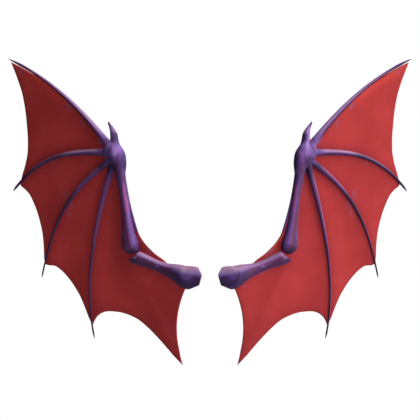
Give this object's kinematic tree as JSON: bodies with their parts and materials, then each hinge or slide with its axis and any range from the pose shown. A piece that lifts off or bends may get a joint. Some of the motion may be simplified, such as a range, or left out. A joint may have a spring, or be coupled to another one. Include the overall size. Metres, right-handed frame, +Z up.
{
  "type": "bat wings",
  "caption": "Costume bat wings worn on the back: scalloped red leathercloth sheets on curved purple arm and finger bones, each with a thumb claw and a round root knob.",
  "frame": {"origin": "midway between the two root seats, on the plane of the wearer's back", "axes": "+X to the right as the picture shows it, which is the wearer's left, +Y away from the wearer's back, +Z up"},
  "size_m": [0.8946, 0.1807, 0.6637],
  "materials": {
    "membrane": "soft matt red leathercloth",
    "bone": "hand-painted purple moulded foam, satin"
  },
  "bodies": {
    "root": {"right_membrane": "membrane", "right_upper_arm": "bone", "right_forearm": "bone", "right_palm": "bone", "right_thumb_claw": "bone", "right_finger_1": "bone", "right_finger_2": "bone", "right_finger_3": "bone", "right_finger_4": "bone", "right_front_tendon": "bone", "left_membrane": "membrane", "left_upper_arm": "bone", "left_forearm": "bone", "left_palm": "bone", "left_thumb_claw": "bone", "left_finger_1": "bone", "left_finger_2": "bone", "left_finger_3": "bone", "left_finger_4": "bone", "left_front_tendon": "bone"}
  },
  "joints": []
}
